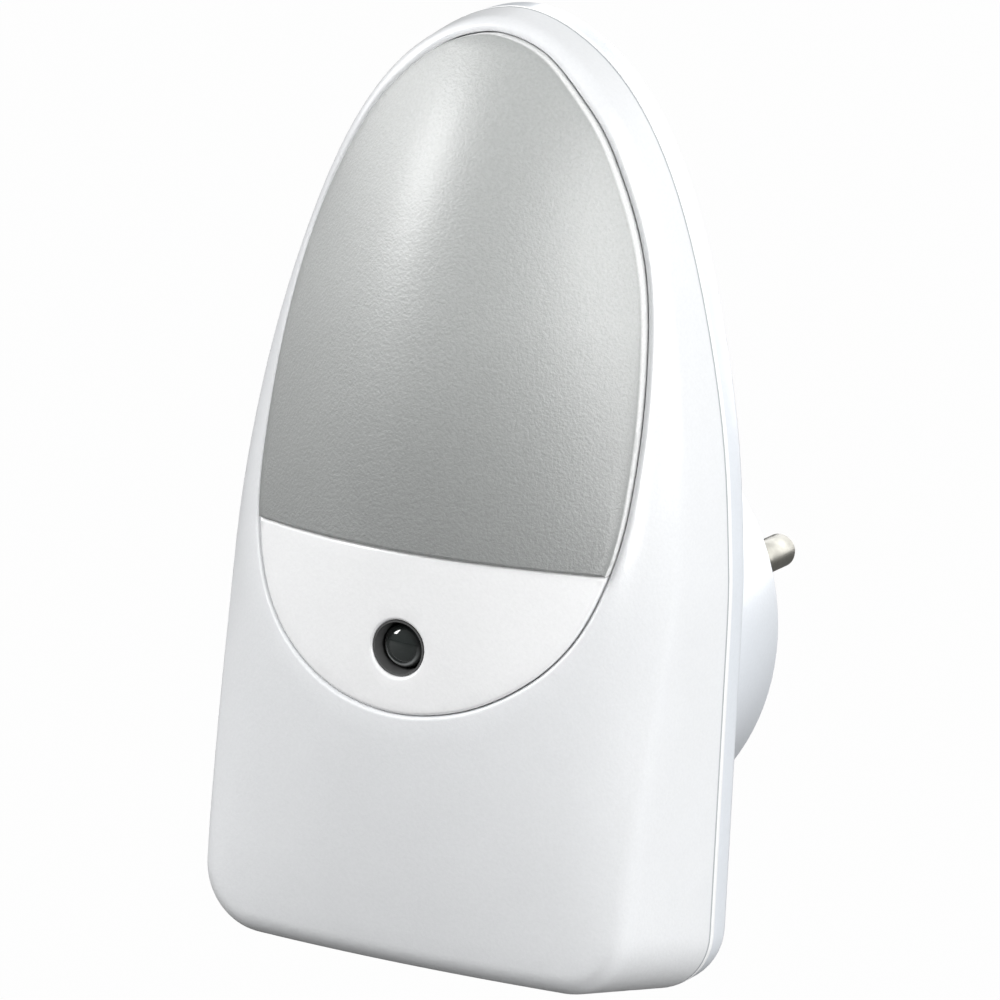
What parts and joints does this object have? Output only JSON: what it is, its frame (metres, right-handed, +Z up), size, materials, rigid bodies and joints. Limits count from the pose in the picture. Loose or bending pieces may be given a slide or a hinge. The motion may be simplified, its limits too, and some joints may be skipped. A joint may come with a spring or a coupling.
{
  "type": "plug in night light",
  "caption": "Arched white plug-in night light with a frosted domed lens, a dusk sensor below it and round plug pins on a drum behind.",
  "frame": {"origin": "centre of the plug body's end face, midway between the two pins", "axes": "+Y along the pins into the wall, +Z up, +X to the right seen from the front, so the lens faces -Y"},
  "size_m": [0.0588, 0.0789, 0.1092],
  "materials": {
    "white_shell": "glossy white moulded plastic",
    "frosted_lens": "satin frosted translucent plastic",
    "dark_resin": "dark clear epoxy",
    "dark_shield": "matt dark grey plastic",
    "nickel": "nickel plated brass",
    "sleeve_plastic": "dark insulating sleeve",
    "screw_steel": "zinc plated steel",
    "board": "green lacquered laminate",
    "led_resin": "clear epoxy",
    "tinned_wire": "tinned copper",
    "reflector_white": "white matt plastic",
    "capacitor_box": "yellow box case",
    "can_sleeve": "dark shrink sleeve",
    "black_epoxy": "black moulded epoxy",
    "resistor_coat": "blue lacquer",
    "fuse_coat": "beige flame proof lacquer",
    "wire_brown": "brown insulation",
    "wire_blue": "blue insulation"
  },
  "bodies": {
    "root": {"front_cover": "white_shell", "lens": "frosted_lens", "sensor_panel": "white_shell", "rear_casing": "white_shell", "plug_body": "white_shell", "pin_left": "nickel", "pin_right": "nickel", "sleeve_left": "sleeve_plastic", "sleeve_right": "sleeve_plastic", "pin_clamp": "black_epoxy", "clamp_screws": "screw_steel", "casing_screws": "screw_steel", "board_screws": "screw_steel", "circuit_board": "board", "leds": "led_resin", "led_leads": "tinned_wire", "reflector": "reflector_white", "sensor_dome": "dark_resin", "sensor_shield": "dark_shield", "sensor_leads": "tinned_wire", "dropper_capacitor": "capacitor_box", "smoothing_capacitor": "can_sleeve", "rectifier": "black_epoxy", "fusible_resistor": "fuse_coat", "resistors": "resistor_coat", "transistor": "black_epoxy", "component_leads": "tinned_wire", "wire_left": "wire_brown", "wire_right": "wire_blue"}
  },
  "joints": []
}
